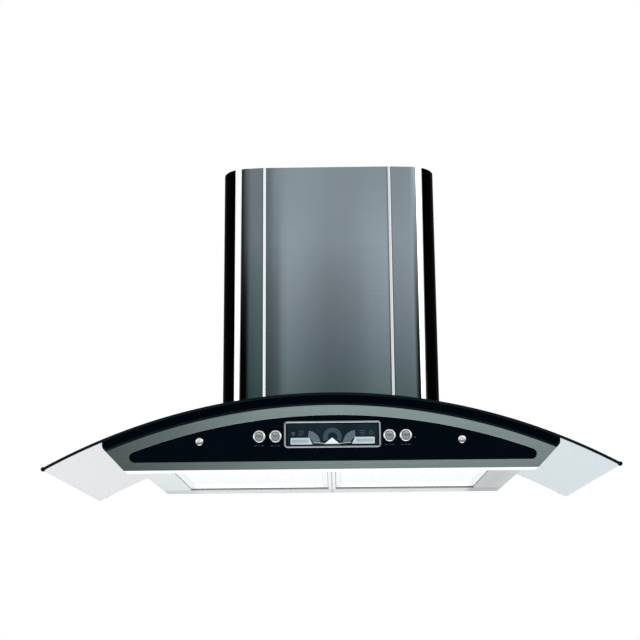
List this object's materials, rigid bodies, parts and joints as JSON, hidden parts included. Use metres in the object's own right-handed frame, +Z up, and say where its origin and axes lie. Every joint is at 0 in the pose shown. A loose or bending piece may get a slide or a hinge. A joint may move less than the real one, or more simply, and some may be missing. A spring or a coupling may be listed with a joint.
{
  "type": "chimney range hood",
  "caption": "Wall-hung chimney hood with an arched clear glass canopy, a lens-shaped black control panel in a steel fascia, drop-down grease filters and a blower with duct dampers.",
  "frame": {"origin": "on the wall plane, on the centre line, at the level of the body's underside", "axes": "+Z up, +X to the right as seen from the front, the front faces -Y, the wall is the plane Y = 0"},
  "size_m": [0.902, 0.5, 0.5895],
  "materials": {
    "clear_glass": "clear toughened float glass with a faint blue-green tint",
    "edge_black": "glossy black",
    "moulding_black": "glossy blue-black",
    "fascia_steel": "brushed along X",
    "chimney_steel": "brushed along X",
    "panel_black": "black back-painted glass, mirror smooth",
    "display_dark": "dark slate, glossy",
    "chrome": "polished",
    "side_black": "gloss black enamel",
    "body_steel": "satin",
    "filter_aluminium": "bright, fine mesh",
    "galvanised": "zinc-plated sheet",
    "motor_grey": "grey enamel",
    "fan_black": "matt",
    "box_black": "matt",
    "board_green": "solder mask",
    "lamp_glass": "frosted",
    "rubber": "matt",
    "magnet_nickel": "nickel-plated",
    "capacitor_white": "satin"
  },
  "bodies": {
    "hood": {"base_shell": "body_steel", "bezel_left_inner": "chrome", "bezel_left_outer": "chrome", "bezel_right_inner": "chrome", "bezel_right_outer": "chrome", "blower_bracket_left": "galvanised", "blower_bracket_right": "galvanised", "blower_front_plate": "galvanised", "blower_scroll": "galvanised", "capacitor": "capacitor_white", "chimney_front_panel": "chimney_steel", "chimney_inlay_left": "chrome", "chimney_inlay_right": "chrome", "chimney_side_left": "side_black", "chimney_side_right": "side_black", "chimney_top_plate": "galvanised", "control_board": "board_green", "control_glass": "panel_black", "control_housing": "box_black", "cord_grommet": "rubber", "corner_strip_left": "chrome", "corner_strip_right": "chrome", "damper_pins": "galvanised", "display_bezel": "chrome", "display_module": "display_dark", "display_window": "display_dark", "exhaust_collar": "galvanised", "fascia_frame": "fascia_steel", "filter_hinge_pins": "body_steel", "filter_magnets": "magnet_nickel", "front_trim": "moulding_black", "glass_canopy": "clear_glass", "glass_edge_trim": "edge_black", "glass_screws": "chrome", "glass_seal_left": "rubber", "glass_seal_right": "rubber", "junction_box": "box_black", "lamp_housing_left": "body_steel", "lamp_housing_right": "body_steel", "lamp_lens_left": "lamp_glass", "lamp_lens_right": "lamp_glass", "motor": "motor_grey", "motor_bracket": "galvanised", "outlet_box": "galvanised", "panel_stud_left": "chrome", "panel_stud_right": "chrome", "rear_chassis": "galvanised", "underside_frame": "body_steel"},
    "filter_left": {"filter_frame_left": "filter_aluminium", "filter_mesh_left": "filter_aluminium"},
    "filter_right": {"filter_frame_right": "filter_aluminium", "filter_mesh_right": "filter_aluminium"},
    "fan": {"impeller": "fan_black", "motor_shaft": "galvanised"},
    "damper_left": {"damper_flap_left": "galvanised"},
    "damper_right": {"damper_flap_right": "galvanised"},
    "button_left_outer": {"button_left_outer": "chrome"},
    "button_left_inner": {"button_left_inner": "chrome"},
    "button_right_inner": {"button_right_inner": "chrome"},
    "button_right_outer": {"button_right_outer": "chrome"}
  },
  "joints": [
    {"name": "push_left_outer", "type": "slide", "parent": "hood", "child": "button_left_outer", "axis": [0, 1, 0], "range_m": [0, 0.0015], "stiffness_N_per_m": 1500},
    {"name": "push_left_inner", "type": "slide", "parent": "hood", "child": "button_left_inner", "axis": [0, 1, 0], "range_m": [0, 0.0015], "stiffness_N_per_m": 1500},
    {"name": "push_right_inner", "type": "slide", "parent": "hood", "child": "button_right_inner", "axis": [0, 1, 0], "range_m": [0, 0.0015], "stiffness_N_per_m": 1500},
    {"name": "push_right_outer", "type": "slide", "parent": "hood", "child": "button_right_outer", "axis": [0, 1, 0], "range_m": [0, 0.0015], "stiffness_N_per_m": 1500},
    {"name": "filter_left_drop", "type": "hinge", "parent": "hood", "child": "filter_left", "pos_m": [0, -0.071, 0.0078], "axis": [1, 0, 0], "range_deg": [0, 70]},
    {"name": "filter_right_drop", "type": "hinge", "parent": "hood", "child": "filter_right", "pos_m": [0, -0.071, 0.0078], "axis": [1, 0, 0], "range_deg": [0, 70]},
    {"name": "fan_spin", "type": "hinge", "parent": "hood", "child": "fan", "pos_m": [0.053, -0.15, 0.277], "axis": [0, 1, 0], "continuous": true},
    {"name": "damper_right_lift", "type": "hinge", "parent": "hood", "child": "damper_right", "pos_m": [0.004, -0.135, 0.501], "axis": [0, -1, 0], "range_deg": [0, 80]},
    {"name": "damper_left_lift", "type": "hinge", "parent": "hood", "child": "damper_left", "pos_m": [-0.004, -0.135, 0.501], "axis": [0, 1, 0], "range_deg": [0, 80]}
  ]
}
